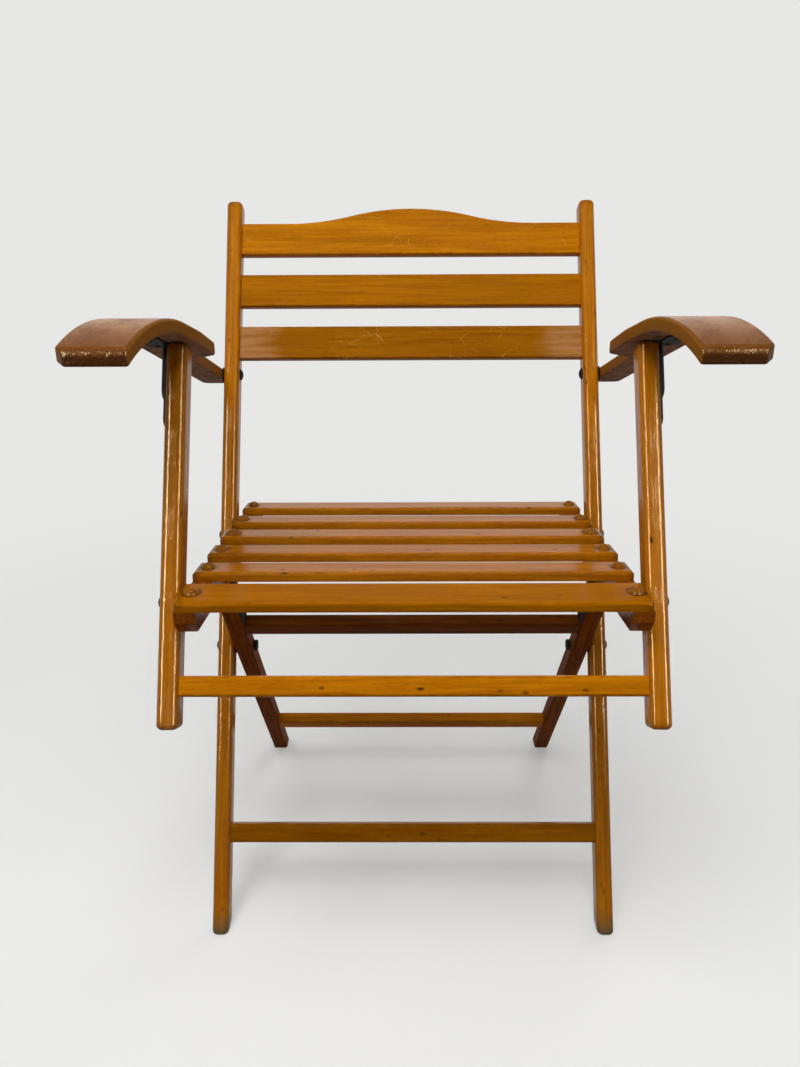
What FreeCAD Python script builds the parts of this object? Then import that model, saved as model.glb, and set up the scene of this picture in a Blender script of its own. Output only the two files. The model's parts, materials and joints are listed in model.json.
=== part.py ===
"""Folding armchair of varnished laths, open and standing on its four feet.

X runs across the chair, Y from the front to the back, Z up, in millimetres. The side view is worked out from the
leg bolt, and at the end every piece is moved so that the origin lies under the middle of the whole chair.
"""

import FreeCAD
import Part
import math
import os

V = FreeCAD.Vector

# Side view: the long back posts lean back and cross the rear legs at the leg bolt
back_lean = 27.6
leg_lean = 36.2
post_below_bolt = 320.0
post_above_bolt = 546.0
leg_above_bolt = 106.0
seat_bolt_up = 131.0
arm_bolt_up = 328.0

# Laths. On each side of the chair they lie in two layers: the legs and rails inside, the posts outside
inner_layer_outer = 206.5
layer_gap = 2.0
post_width = 18.5
post_depth = 26.0
post_rounding = 6.5
arm_post_width = 19.5
arm_post_depth = 27.0
rail_width = 19.0
rail_height = 26.0
leg_width = 19.5
leg_depth = 20.0
leg_rounding = 3.0

# Seat
seat_slope = 6.3
seat_length = 366.0
front_drop = 4.0
seat_bolt_from_front = 303.0
seat_bolt_below_top = 17.4
arm_post_bolt_from_front = 44.0
arm_post_bolt_below_top = 10.3
rail_nose_cut = 12.0
slat_thickness = 9.0
slat_nose = 3.6
front_slat_depth = 44.0
slat_depth = 35.0
slat_gap = 27.5
rear_slat_gap = 34.5
slat_count = 6
slat_corner = 5.0
stud_from_end = 11.5

# Back
back_slat_height = 41.0
back_slat_gap = 25.0
back_slat_thickness = 11.0
lowest_back_slat_up = 346.5
crest_rise = 19.0
crest_half_width = 150.0
crest_end_height = 41.0
back_slat_rounding = 2.5

# Stretchers: along is their size along the leg, through is their size across it
front_stretcher_up = -214.0
front_stretcher_along = 21.0
front_stretcher_through = 15.0
front_stretcher_forward = 3.0
rear_stretcher_along = 23.5
rear_stretcher_through = 15.0
upper_rear_stretcher_up = 54.0
lower_rear_stretcher_up = -252.5
arm_stretcher_up = -75.0
arm_stretcher_along = 18.5
arm_stretcher_through = 13.0
arm_stretcher_forward = 3.5
stretcher_rounding = 3.5
tenon_length = 11.0
tenon_shoulder = 3.5
tenon_clearance = 0.05

# Arm posts
arm_post_above_bolt = 240.0
arm_post_below_bolt = 113.0
post_end_rounding = 5.0
foot_rounding = 3.0

# Arm rests
arm_thickness = 13.0
arm_front_past_seat = 0.5
arm_crest_over_seat_front = 232.6
arm_crest_behind_front = 68.7
arm_crest_radius = 185.0
arm_rear_slope = 19.0
arm_past_bolt = 35.0
neck_gap = 2.2
neck_width = 33.8
paddle_overlap = 9.0
arm_inner_flare = 6.8
arm_outer_flare = 5.4
inner_flare_behind_front = 166.0
outer_flare_behind_front = 146.0
shoulder_behind_front = 221.0
shoulder_run = 26.0
shoulder_corner = 9.0
shoulder_hollow = 24.0
rear_outer_corner = 9.0
rear_inner_corner = 5.0
arm_front_cut = 7.0
arm_bend_in_plan = 120.0
arm_nose = 7.5
arm_top_edge = 3.0
arm_bottom_edge = 2.0

# Bolts, nuts and washers
bolt_radius = 3.5
running_clearance = 0.06
bolt_head_radius = 7.0
bolt_head_height = 3.2
nut_radius = 6.2
nut_height = 4.5
washer_radius = 9.0
face_gap = 0.3
arm_bolt_bite = 25.0
stud_head_radius = 7.0
stud_head_height = 4.6
stud_radius = 2.5
stud_depth = 22.0

# Forks on the rear legs, which hold up the seat bolts
fork_reach = 161.0
fork_thickness = 2.5
fork_width = 18.0
fork_start = 70.0
fork_slot_half = 4.6
fork_past_slot = 3.0
fork_mouth_flare = 1.5
support_radius = 3.5
support_head_radius = 6.0
screw_radius = 1.6
screw_head_radius = 3.4
screw_head_height = 1.4
screw_length = 11.0

# Brackets under the arm rests and the plates on the arm posts
plate_thickness = 1.5
plate_half_length = 35.0
plate_width = 17.0
bracket_thickness = 1.8
bracket_width = 18.0
bracket_leaf_width = 19.0
bracket_leaf_length = 44.0
bracket_corner = 4.0
arm_screw_bite = 13.0
arm_screw_head_height = 1.6
bracket_screw_inset = 8.0


# Faces of the layers, measured across the chair from its middle plane
post_inner = inner_layer_outer + layer_gap
neck_inner = post_inner + post_width + neck_gap
neck_outer = neck_inner + neck_width
paddle_inner = post_inner - paddle_overlap
stud_from_middle = inner_layer_outer - stud_from_end


def side(y, z):
    """A point of the side view, in the middle plane."""
    return V(0, y, z)


def along(start, angle_from_up, distance, offset=0.0):
    """The point at a distance from start along a line that leans back by the angle, offset to the front of it."""
    a = math.radians(angle_from_up)
    return start + V(0, math.sin(a), math.cos(a)) * distance + V(0, -math.cos(a), math.sin(a)) * offset


# Pivots in the side view
leg_bolt = side(0, post_below_bolt * math.cos(math.radians(back_lean)))
seat_bolt = along(leg_bolt, back_lean, seat_bolt_up)
arm_bolt = along(leg_bolt, back_lean, arm_bolt_up)
leg_below_bolt = leg_bolt.z / math.cos(math.radians(leg_lean))


def on_seat(run, rise):
    """The point of the side view at a run back from the front edge of the rails and a rise over their top line."""
    s = math.radians(seat_slope)
    back = run - seat_bolt_from_front
    up = rise + seat_bolt_below_top
    return seat_bolt + V(0, math.cos(s), -math.sin(s)) * back + V(0, math.sin(s), math.cos(s)) * up


arm_post_bolt = on_seat(arm_post_bolt_from_front, -arm_post_bolt_below_top)
arm_front_bolt = arm_bolt + arm_post_bolt - seat_bolt
arm_front_bolt_up = (arm_front_bolt - arm_post_bolt).Length
fork_bolt = along(leg_bolt, -leg_lean, fork_reach)
seat_front = on_seat(0, 0)


def move_across(shape, x):
    """A copy of the shape moved across the chair."""
    copy = shape.copy()
    copy.translate(V(x, 0, 0))
    return copy


def mirrored(shape):
    """The same piece for the other side of the chair."""
    return shape.mirror(V(0, 0, 0), V(1, 0, 0))


def pair(shape):
    """A piece and its mirror image, as two solids."""
    return Part.makeCompound([shape, mirrored(shape)])


def rounded_edges(shape, radius, chosen):
    """The shape with the edges that the test picks rounded off."""
    return shape.makeFillet(radius, [e for e in shape.Edges if chosen(e)])


def runs_along(direction):
    """A test for straight edges parallel to the direction."""
    def test(edge):
        if not isinstance(edge.Curve, Part.Line):
            return False
        return edge.Curve.Direction.cross(direction).Length < 1e-6
    return test


def below_plane(edge, normal, level):
    """Whether both ends and the middle of an edge lie under a plane."""
    first, last = edge.FirstParameter, edge.LastParameter
    return all(edge.valueAt(t).dot(normal) < level for t in (first, (first + last) / 2, last))


def lean_back(shape, start, angle):
    """The shape, drawn upright on the origin, set on a point of the side view and leant back."""
    copy = shape.copy()
    copy.rotate(V(0, 0, 0), V(1, 0, 0), -angle)
    copy.translate(start)
    return copy


def across(start, radius, x_from, x_to):
    """A round bar that runs across the chair at a point of the side view."""
    return Part.makeCylinder(radius, x_to - x_from, V(x_from, start.y, start.z), V(1, 0, 0))


def dome(radius, height, foot, direction):
    """A domed head that stands on a flat face at its foot and points in a direction."""
    ball = (radius * radius + height * height) / (2 * height)
    half = math.asin(radius / ball) / 2
    shoulder = V(ball * math.sin(half), 0, height - ball + ball * math.cos(half))
    edges = [Part.Arc(V(radius, 0, 0), shoulder, V(0, 0, height)).toShape(),
             Part.LineSegment(V(0, 0, height), V(0, 0, 0)).toShape(),
             Part.LineSegment(V(0, 0, 0), V(radius, 0, 0)).toShape()]
    head = Part.Face(Part.Wire(edges)).revolve(V(0, 0, 0), V(0, 0, 1), 360)
    head.Placement = FreeCAD.Placement(foot, FreeCAD.Rotation(V(0, 0, 1), direction))
    return head


def dome_across(start, radius, height, x_face, outward):
    """A domed head on a face that looks across the chair."""
    return dome(radius, height, V(x_face, start.y, start.z), V(outward, 0, 0))


def hexagon_across(start, radius, x_from, x_to):
    """A six-sided nut that runs across the chair."""
    corners = []
    for k in range(7):
        a = math.radians(60 * k)
        corners.append(V(x_from, start.y + radius * math.cos(a), start.z + radius * math.sin(a)))
    return Part.Face(Part.makePolygon(corners)).extrude(V(x_to - x_from, 0, 0))


def ring_across(start, radius, hole, x_from, x_to):
    """A washer that lies across the chair."""
    return across(start, radius, x_from, x_to).cut(across(start, hole, x_from - 1, x_to + 1))


def post(width, depth, above, below, foot_angle, rounding):
    """An upright rounded lath on the origin. Its lower end is cut level for a lath that leans by foot_angle."""
    drop = depth * abs(math.tan(math.radians(foot_angle)))
    bar = Part.makeBox(width, depth, above + below + drop, V(0, -depth / 2, -below - drop))
    bar = rounded_edges(bar, rounding, runs_along(V(0, 0, 1)))
    top = above - 1e-3
    bar = rounded_edges(bar, post_end_rounding, lambda e: e.BoundBox.ZMin > top)
    if foot_angle:
        level = Part.makeBox(4 * width, 6 * depth, 4 * depth, V(-width, -3 * depth, -4 * depth))
        level.rotate(V(0, 0, 0), V(1, 0, 0), foot_angle)
        level.translate(V(0, 0, -below))
        bar = bar.cut(level)
        lean = math.radians(foot_angle)
        floor = V(0, -math.sin(lean), math.cos(lean))
        worn = min(foot_rounding, rounding / 2)
        return rounded_edges(bar, worn, lambda e: below_plane(e, floor, 1e-3 - below * floor.z))
    bottom = -below + 1e-3
    return rounded_edges(bar, post_end_rounding, lambda e: e.BoundBox.ZMax < bottom)


def cross_lath(inner_face, along_size, through_size, up, forward, rounding):
    """A lath that runs across the chair between two inner faces, with a tenon at each end, drawn upright."""
    bar = Part.makeBox(2 * inner_face, through_size, along_size,
                       V(-inner_face, -through_size / 2 - forward, up - along_size / 2))
    bar = rounded_edges(bar, rounding, runs_along(V(1, 0, 0)))
    return bar.fuse(tenons(inner_face, along_size, through_size, up, forward, 0.0)).removeSplitter()


def tenons(inner_face, along_size, through_size, up, forward, clearance):
    """The two tenons of a cross lath, or with a clearance the two mortises that take them."""
    high = along_size - 2 * tenon_shoulder + 2 * clearance
    deep = through_size - 2 * tenon_shoulder + 2 * clearance
    long = tenon_length + clearance
    right = Part.makeBox(long, deep, high, V(inner_face, -deep / 2 - forward, up - high / 2))
    return pair(right)


def leg_tenons(clearance):
    """The tenons of both stretchers of the rear legs."""
    inner = inner_layer_outer - leg_width
    upper = tenons(inner, rear_stretcher_along, rear_stretcher_through, upper_rear_stretcher_up, 0.0, clearance)
    lower = tenons(inner, rear_stretcher_along, rear_stretcher_through, lower_rear_stretcher_up, 0.0, clearance)
    return Part.makeCompound([upper, lower])


def back_slat_places():
    """The height along the posts of the middle of each straight back slat, and of the foot of the crest."""
    pitch = back_slat_height + back_slat_gap
    low = lowest_back_slat_up + back_slat_height / 2
    return low, low + pitch, lowest_back_slat_up + 2 * pitch


# The back frame: posts, three back slats and the front stretcher
def back_post():
    bar = post(post_width, post_depth, post_above_bolt, post_below_bolt, back_lean, post_rounding)
    bar = move_across(bar, post_inner)
    low, middle, crest_foot = back_slat_places()
    for up, high in ((low, back_slat_height), (middle, back_slat_height),
                     (crest_foot + crest_end_height / 2, crest_end_height)):
        bar = bar.cut(tenons(post_inner, high, back_slat_thickness, up, 0.0, tenon_clearance))
    bar = bar.cut(tenons(post_inner, front_stretcher_along, front_stretcher_through, front_stretcher_up,
                         front_stretcher_forward, tenon_clearance))
    bar = lean_back(bar, leg_bolt, back_lean)
    for bolt, radius in ((leg_bolt, bolt_radius), (seat_bolt, bolt_radius),
                         (arm_bolt, bolt_radius + running_clearance)):
        bar = bar.cut(across(bolt, radius, 0, 2 * post_inner))
    return bar


def straight_back_slat(up):
    bar = cross_lath(post_inner, back_slat_height, back_slat_thickness, up, 0.0, back_slat_rounding)
    return lean_back(bar, leg_bolt, back_lean)


def crest_slat():
    """The top slat, whose upper edge swells up in the middle: two hollow arcs and a round one between them."""
    foot = back_slat_places()[2]
    end = foot + crest_end_height
    half = crest_half_width
    radius = (half * half + crest_rise * crest_rise) / (4 * crest_rise)

    def at(x, z):
        return V(x, -back_slat_thickness / 2, z)

    def hollow(x):
        return end + radius - math.sqrt(radius * radius - (half - abs(x)) ** 2)

    peak = end + crest_rise
    inner = half / 2
    outer = 0.75 * half
    left_arc = Part.Arc(at(-half, end), at(-outer, hollow(-outer)), at(-inner, hollow(-inner)))
    top_arc = Part.Arc(at(-inner, hollow(-inner)), at(0, peak), at(inner, hollow(inner)))
    right_arc = Part.Arc(at(inner, hollow(inner)), at(outer, hollow(outer)), at(half, end))
    edges = [
        Part.LineSegment(at(-post_inner, foot), at(-post_inner, end)).toShape(),
        Part.LineSegment(at(-post_inner, end), at(-half, end)).toShape(),
        left_arc.toShape(),
        top_arc.toShape(),
        right_arc.toShape(),
        Part.LineSegment(at(half, end), at(post_inner, end)).toShape(),
        Part.LineSegment(at(post_inner, end), at(post_inner, foot)).toShape(),
        Part.LineSegment(at(post_inner, foot), at(-post_inner, foot)).toShape(),
    ]
    board = Part.Face(Part.Wire(edges)).extrude(V(0, back_slat_thickness, 0))
    flat = 1e-3

    def long_edge(edge):
        box = edge.BoundBox
        return box.YLength < flat and box.XLength > 1

    board = rounded_edges(board, back_slat_rounding, long_edge)
    middle = foot + crest_end_height / 2
    ends = tenons(post_inner, crest_end_height, back_slat_thickness, middle, 0.0, 0.0)
    return lean_back(board.fuse(ends).removeSplitter(), leg_bolt, back_lean)


def front_stretcher():
    bar = cross_lath(post_inner, front_stretcher_along, front_stretcher_through, front_stretcher_up,
                     front_stretcher_forward, stretcher_rounding)
    return lean_back(bar, leg_bolt, back_lean)


# The rear legs with their two stretchers and the forks
def rear_leg():
    inner = inner_layer_outer - leg_width
    bar = post(leg_width, leg_depth, leg_above_bolt, leg_below_bolt, -leg_lean, leg_rounding)
    bar = move_across(bar, inner)
    bar = bar.cut(leg_tenons(tenon_clearance))
    bar = lean_back(bar, leg_bolt, -leg_lean)
    for up in fork_screws_up():
        bar = bar.cut(fork_screw(up))
    return bar.cut(across(leg_bolt, bolt_radius + running_clearance, 0, 2 * inner))


def rear_stretcher(up):
    inner = inner_layer_outer - leg_width
    bar = cross_lath(inner, rear_stretcher_along, rear_stretcher_through, up, 0.0, stretcher_rounding)
    return lean_back(bar, leg_bolt, -leg_lean)


def fork():
    """A steel plate on the inner face of the leg. Its slot, open at the top, holds up the seat's support bolt."""
    face = inner_layer_outer - leg_width
    half = fork_width / 2
    top = fork_reach + fork_past_slot
    plate = Part.makeBox(fork_thickness, fork_width, top - fork_start, V(face - fork_thickness, -half, fork_start))
    plate = rounded_edges(plate, half * 0.8, lambda e: runs_along(V(1, 0, 0))(e) and e.BoundBox.ZMax < fork_start + 1)
    x0 = face - fork_thickness - 1
    thick = fork_thickness + 2
    seat = Part.makeCylinder(fork_slot_half, thick, V(x0, 0, fork_reach), V(1, 0, 0))
    lip = fork_slot_half + fork_mouth_flare
    mouth = Part.makePolygon([V(x0, -fork_slot_half, fork_reach), V(x0, fork_slot_half, fork_reach),
                              V(x0, lip, top + 1), V(x0, -lip, top + 1), V(x0, -fork_slot_half, fork_reach)])
    plate = plate.cut(seat).cut(Part.Face(mouth).extrude(V(thick, 0, 0)))
    plate = lean_back(plate, leg_bolt, -leg_lean)
    for up in fork_screws_up():
        plate = plate.cut(fork_screw(up))
    return plate


def fork_screws_up():
    """Where the two screws of a fork lie along the leg."""
    edge = fork_width / 2
    return fork_start + edge, leg_above_bolt - edge


def fork_screw(up):
    """A round-headed screw through the fork into the leg."""
    place = along(leg_bolt, -leg_lean, up)
    face = inner_layer_outer - leg_width - fork_thickness
    shank = across(place, screw_radius, face, face + screw_length)
    return shank.fuse(dome_across(place, screw_head_radius, screw_head_height, face, -1))


# The seat: two dished rails, six slats and the bolts with domed heads
def drop(run):
    """How far the top edge of the rails falls below its straight line, under the front slat."""
    return -front_drop * max(0.0, 1 - run / front_slat_depth)


def seat_rail():
    nose = rail_nose_cut
    low = -rail_height

    def at(run, rise):
        p = on_seat(run, rise)
        return V(inner_layer_outer - rail_width, p.y, p.z)

    corners = [at(0, drop(0)), at(front_slat_depth, 0), at(seat_length, 0), at(seat_length, low + nose),
               at(seat_length - nose, low), at(nose, low), at(0, low + nose)]
    rail = Part.Face(Part.makePolygon(corners + corners[:1])).extrude(V(rail_width, 0, 0))
    middle = on_seat(seat_length / 2, low)

    def lower_long_edge(edge):
        return edge.BoundBox.YLength > seat_length / 2 and abs(edge.BoundBox.Center.z - middle.z) < 1

    rail = rounded_edges(rail, leg_rounding, lower_long_edge)
    for place in (seat_bolt, arm_post_bolt):
        rail = rail.cut(across(place, bolt_radius + running_clearance, 0, 2 * inner_layer_outer))
    rail = rail.cut(support_bolt())
    for number in range(slat_count):
        rail = rail.cut(slat_stud(number))
    return rail


def slat_run(number):
    """Where a seat slat starts, from the front of the rails."""
    if number == 0:
        return 0.0
    run = front_slat_depth + slat_gap + (number - 1) * (slat_depth + slat_gap)
    if number == slat_count - 1:
        return run + rear_slat_gap - slat_gap
    return run


def slat_size(number):
    return front_slat_depth if number == 0 else slat_depth


def slat_ends(number):
    """The front and rear lower edges of a seat slat in the side view, which rest on the rails."""
    start = slat_run(number)
    stop = start + slat_size(number)
    return on_seat(start, drop(start)), on_seat(stop, drop(stop))


def on_slat(shape, number):
    """A shape drawn level, with its front lower edge on the origin, laid on the rails in place of a slat."""
    front, rear = slat_ends(number)
    tilt = math.degrees(math.atan2(rear.z - front.z, rear.y - front.y))
    copy = shape.copy()
    copy.rotate(V(0, 0, 0), V(1, 0, 0), tilt)
    copy.translate(front)
    return copy


def seat_slat(number):
    front, rear = slat_ends(number)
    deep = (rear - front).Length
    slat = Part.makeBox(2 * inner_layer_outer, deep, slat_thickness, V(-inner_layer_outer, 0, 0))
    corner = slat_corner if number == 0 else slat_corner / 2
    slat = rounded_edges(slat, corner, lambda e: runs_along(V(0, 0, 1))(e) and e.BoundBox.YMax < deep / 2)
    flat = 1e-3
    slat = rounded_edges(slat, slat_nose, lambda e: e.BoundBox.ZMin > slat_thickness - flat)
    slat = on_slat(slat, number)
    return slat.cut(slat_stud(number)).cut(mirrored(slat_stud(number)))


def slat_stud(number):
    """A round shank with a domed head that holds one end of a slat down on its rail."""
    front, rear = slat_ends(number)
    foot = V(stud_from_middle, (rear - front).Length / 2, slat_thickness)
    shank = Part.makeCylinder(stud_radius, stud_depth, foot - V(0, 0, stud_depth))
    head = dome(stud_head_radius, stud_head_height, foot, V(0, 0, 1))
    return on_slat(shank.fuse(head).removeSplitter(), number)


def support_bolt():
    """The bolt through a rail that rests in the fork of the rear leg. Its flat head is let into the outer face."""
    shank = across(fork_bolt, support_radius, support_end(), inner_layer_outer)
    grown = support_head_radius - support_radius
    head = Part.makeCone(support_radius, support_head_radius, grown,
                         V(inner_layer_outer - grown, fork_bolt.y, fork_bolt.z), V(1, 0, 0))
    return shank.fuse(head).removeSplitter()


def support_end():
    """Where the support bolt ends, inside its nut."""
    return inner_layer_outer - leg_width - fork_thickness - face_gap - nut_height


def support_nut():
    start = support_end()
    nut = hexagon_across(fork_bolt, nut_radius, start, start + nut_height)
    return nut.cut(across(fork_bolt, support_radius, start - 1, start + nut_height + 1))


# The arm posts with their stretcher and plates
def arm_post():
    bar = post(arm_post_width, arm_post_depth, arm_post_above_bolt, arm_post_below_bolt, 0.0, post_rounding)
    bar = move_across(bar, post_inner)
    bar = bar.cut(tenons(post_inner, arm_stretcher_along, arm_stretcher_through, arm_stretcher_up,
                         arm_stretcher_forward, tenon_clearance))
    bar = lean_back(bar, arm_post_bolt, back_lean)
    bar = bar.cut(across(arm_post_bolt, bolt_radius, 0, 2 * post_inner))
    for up in plate_screws_up():
        bar = bar.cut(plate_screw(up))
    return bar.cut(arm_front_screw())


def arm_stretcher():
    bar = cross_lath(post_inner, arm_stretcher_along, arm_stretcher_through, arm_stretcher_up,
                     arm_stretcher_forward, stretcher_rounding)
    return lean_back(bar, arm_post_bolt, back_lean)


def plate_face():
    """The outer face of the arm posts."""
    return post_inner + arm_post_width


def plate():
    """A thin steel plate on the outer face of an arm post, round the front arm bolt."""
    half = plate_width / 2
    bar = Part.makeBox(plate_thickness, plate_width, 2 * plate_half_length,
                       V(plate_face(), -half, arm_front_bolt_up - plate_half_length))
    bar = rounded_edges(bar, half * 0.8, runs_along(V(1, 0, 0)))
    bar = lean_back(bar, arm_post_bolt, back_lean)
    for up in plate_screws_up():
        bar = bar.cut(plate_screw(up))
    return bar.cut(arm_front_screw())


def plate_screws_up():
    edge = plate_width / 2
    return (arm_front_bolt_up - plate_half_length + edge,)


def plate_screw(up):
    place = along(arm_post_bolt, back_lean, up)
    face = plate_face() + plate_thickness
    shank = across(place, screw_radius, face - screw_length, face)
    return shank.fuse(dome_across(place, screw_head_radius, screw_head_height, face, 1))


# Pivot bolts: a domed head on the outer post, a shank through both laths and a nut on the inner one
def pivot_bolt(place, outer_face):
    shank = across(place, bolt_radius, pivot_nut_start(), outer_face)
    return shank.fuse(dome_across(place, bolt_head_radius, bolt_head_height, outer_face, 1)).removeSplitter()


def pivot_nut_start():
    """The inner end of the pivot bolts and of their nuts, off the inner face of the laths that turn on them."""
    return inner_layer_outer - max(leg_width, rail_width) - face_gap - nut_height


def pivot_nut(place):
    start = pivot_nut_start()
    nut = hexagon_across(place, nut_radius, start, start + nut_height)
    return nut.cut(across(place, bolt_radius, start - 1, start + nut_height + 1))


def pivot_washer(place):
    """A washer on the inner face of the post, a little off the lath that turns beside it."""
    return ring_across(place, washer_radius, bolt_radius, inner_layer_outer + face_gap, post_inner)


def arm_rear_bolt():
    """The bolt that the arm rest turns on: its head is on the inner face of the back post."""
    head_face = post_inner - face_gap
    shank = across(arm_bolt, bolt_radius, head_face, neck_inner + arm_bolt_bite)
    return shank.fuse(dome_across(arm_bolt, bolt_head_radius, bolt_head_height, head_face, -1)).removeSplitter()


def arm_rear_washer():
    return ring_across(arm_bolt, washer_radius, bolt_radius, post_inner + post_width + face_gap, neck_inner)


def flange_face():
    """The inner face of the bracket flange, a little off the plate on the arm post."""
    return plate_face() + plate_thickness + face_gap


def arm_front_screw():
    """The screw that the front of an arm rest turns on. It is fast in the arm post, with its head off the flange."""
    outer = flange_face() + bracket_thickness + face_gap
    shank = across(arm_front_bolt, bolt_radius, plate_face() - arm_screw_bite, outer)
    head = dome_across(arm_front_bolt, bolt_head_radius, arm_screw_head_height, outer, 1)
    return shank.fuse(head).removeSplitter()


# The arm rests: a plank bent over the arm posts and cut out in plan
def arm_front_y():
    return seat_front.y - arm_front_past_seat


def arm_crest():
    """The top of the bent plank."""
    return side(arm_front_y() + arm_crest_behind_front, seat_front.z + arm_crest_over_seat_front)


def arm_surface(y, depth):
    """The height of the plank at a place from front to back, at a depth under its top face."""
    crest = arm_crest()
    radius = arm_crest_radius - depth
    centre_z = crest.z - arm_crest_radius
    slope = math.radians(arm_rear_slope)
    turn_y = crest.y + radius * math.sin(slope)
    if y <= turn_y:
        return centre_z + math.sqrt(radius * radius - (y - crest.y) ** 2)
    turn_z = centre_z + radius * math.cos(slope)
    return turn_z - (y - turn_y) * math.tan(slope)


def arm_rear_y():
    return arm_bolt.y + arm_past_bolt


def bend_end(depth):
    """Where the bent front of the plank meets its straight rear, at a depth under the top face."""
    y = arm_crest().y + (arm_crest_radius - depth) * math.sin(math.radians(arm_rear_slope))
    return side(y, arm_surface(y, depth))


def nose_centre():
    """The middle of the round nose at the front of the plank."""
    y = arm_front_y() + arm_nose
    return side(y, arm_surface(y, arm_nose))


def nose_outward():
    """The direction from the middle of the nose to where it runs into the top face."""
    return (nose_centre() - arm_crest() + V(0, 0, arm_crest_radius)).normalize()


def nose_top():
    return nose_centre() + nose_outward() * arm_nose


def arm_skin(y):
    """The height of the top face and the nose at a place from front to back."""
    if y >= nose_top().y:
        return arm_surface(y, 0.0)
    return nose_centre().z + math.sqrt(max(0.0, arm_nose ** 2 - (y - nose_centre().y) ** 2))


def bent_plank():
    """The bent plank, with its rounded nose, before it is cut out in plan."""
    front = arm_front_y()
    rear = arm_rear_y() + 1

    def at(y, depth):
        return side(y, arm_surface(y, depth))

    nose_middle = nose_centre() + (nose_outward() + V(0, -1, 0)).normalize() * arm_nose
    nose_front = nose_centre() + V(0, -arm_nose, 0)
    edges = [Part.Arc(nose_top(), nose_middle, nose_front).toShape(),
             Part.LineSegment(nose_front, at(front, arm_thickness)).toShape(),
             Part.LineSegment(at(rear, 0.0), at(rear, arm_thickness)).toShape()]
    for depth, start in ((0.0, nose_top()), (arm_thickness, at(front, arm_thickness))):
        edges.append(Part.Arc(start, at(arm_crest().y, depth), bend_end(depth)).toShape())
        edges.append(Part.LineSegment(bend_end(depth), at(rear, depth)).toShape())
    wire = Part.Wire(Part.__sortEdges__(edges))
    return Part.Face(wire).extrude(V(2 * neck_outer, 0, 0))


def arm_outline():
    """The plan of the right arm rest: its corners and the radius at each."""
    front = arm_front_y()
    rear = arm_rear_y()
    inner_front = paddle_inner + inner_flare_behind_front * math.tan(math.radians(arm_inner_flare))
    outer_front = neck_outer + outer_flare_behind_front * math.tan(math.radians(arm_outer_flare))
    bend = arm_bend_in_plan
    cut = arm_front_cut
    return [
        (inner_front, front, 0.0),
        (paddle_inner, front + inner_flare_behind_front, bend),
        (paddle_inner, front + shoulder_behind_front, shoulder_corner),
        (neck_inner, front + shoulder_behind_front + shoulder_run, shoulder_hollow),
        (neck_inner, rear, rear_inner_corner),
        (neck_outer, rear, rear_outer_corner),
        (neck_outer, front + outer_flare_behind_front, 3 * bend),
        (outer_front, front + cut, 0.0),
        (outer_front - cut, front, 0.0),
    ]


def rounded_outline(corners):
    """A closed flat wire through corners (x, y, radius). Each is rounded by its radius, or left sharp at 0."""
    points = [V(x, y, 0) for x, y, radius in corners]
    edges = []
    ends = []
    count = len(corners)
    for k in range(count):
        here = points[k]
        before = (points[k - 1] - here).normalize()
        after = (points[(k + 1) % count] - here).normalize()
        half = before.getAngle(after) / 2
        radius = corners[k][2]
        cut = radius / math.tan(half)
        bisector = (before + after).normalize()
        centre = here + bisector * (radius / math.sin(half))
        start = here + before * cut
        stop = here + after * cut
        if radius > 0:
            edges.append(Part.Arc(start, centre - bisector * radius, stop).toShape())
        ends.append((start, stop))
    for k in range(count):
        edges.append(Part.LineSegment(ends[k][1], ends[(k + 1) % count][0]).toShape())
    return Part.Wire(Part.__sortEdges__(edges))


def arm_rest():
    plan = Part.Face(rounded_outline(arm_outline()))
    low = arm_bolt.z - 4 * arm_thickness
    block = plan.extrude(V(0, 0, arm_crest().z - low + arm_thickness))
    block.translate(V(0, 0, low))
    plank = bent_plank().common(block)

    def on_skin(height, seams):
        """A test for edges round a face of the plank, without the seams that cross it where its curve changes."""
        def test(edge):
            middle = edge.valueAt((edge.FirstParameter + edge.LastParameter) / 2)
            seam = edge.BoundBox.YLength < 1 and any(abs(middle.y - y) < 1 for y in seams)
            return abs(middle.z - height(middle.y)) < 0.5 and not seam
        return test

    def front_corner(edge):
        upright = edge.BoundBox.XLength < 1e-3 and edge.BoundBox.YLength < 1e-3
        return upright and edge.BoundBox.YMin < arm_front_y() + arm_front_cut + 1e-3

    round_top = on_skin(arm_skin, (arm_front_y(), nose_top().y, bend_end(0.0).y))
    round_under = on_skin(lambda y: arm_surface(y, arm_thickness), (bend_end(arm_thickness).y,))
    plank = rounded_edges(plank, arm_top_edge, lambda e: front_corner(e) or round_top(e))
    plank = rounded_edges(plank, arm_bottom_edge, round_under)
    plank = plank.cut(across(arm_bolt, bolt_radius, 0, neck_inner + arm_bolt_bite))
    for run in bracket_screws_run():
        plank = plank.cut(bracket_screw(run))
    return plank


def under_arm(shape):
    """A shape drawn level, laid against the straight underside of the arm rest from where that begins."""
    copy = shape.copy()
    copy.rotate(V(0, 0, 0), V(1, 0, 0), -arm_rear_slope)
    copy.translate(bend_end(arm_thickness) + V(flange_face(), 0, 0))
    return copy


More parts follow.
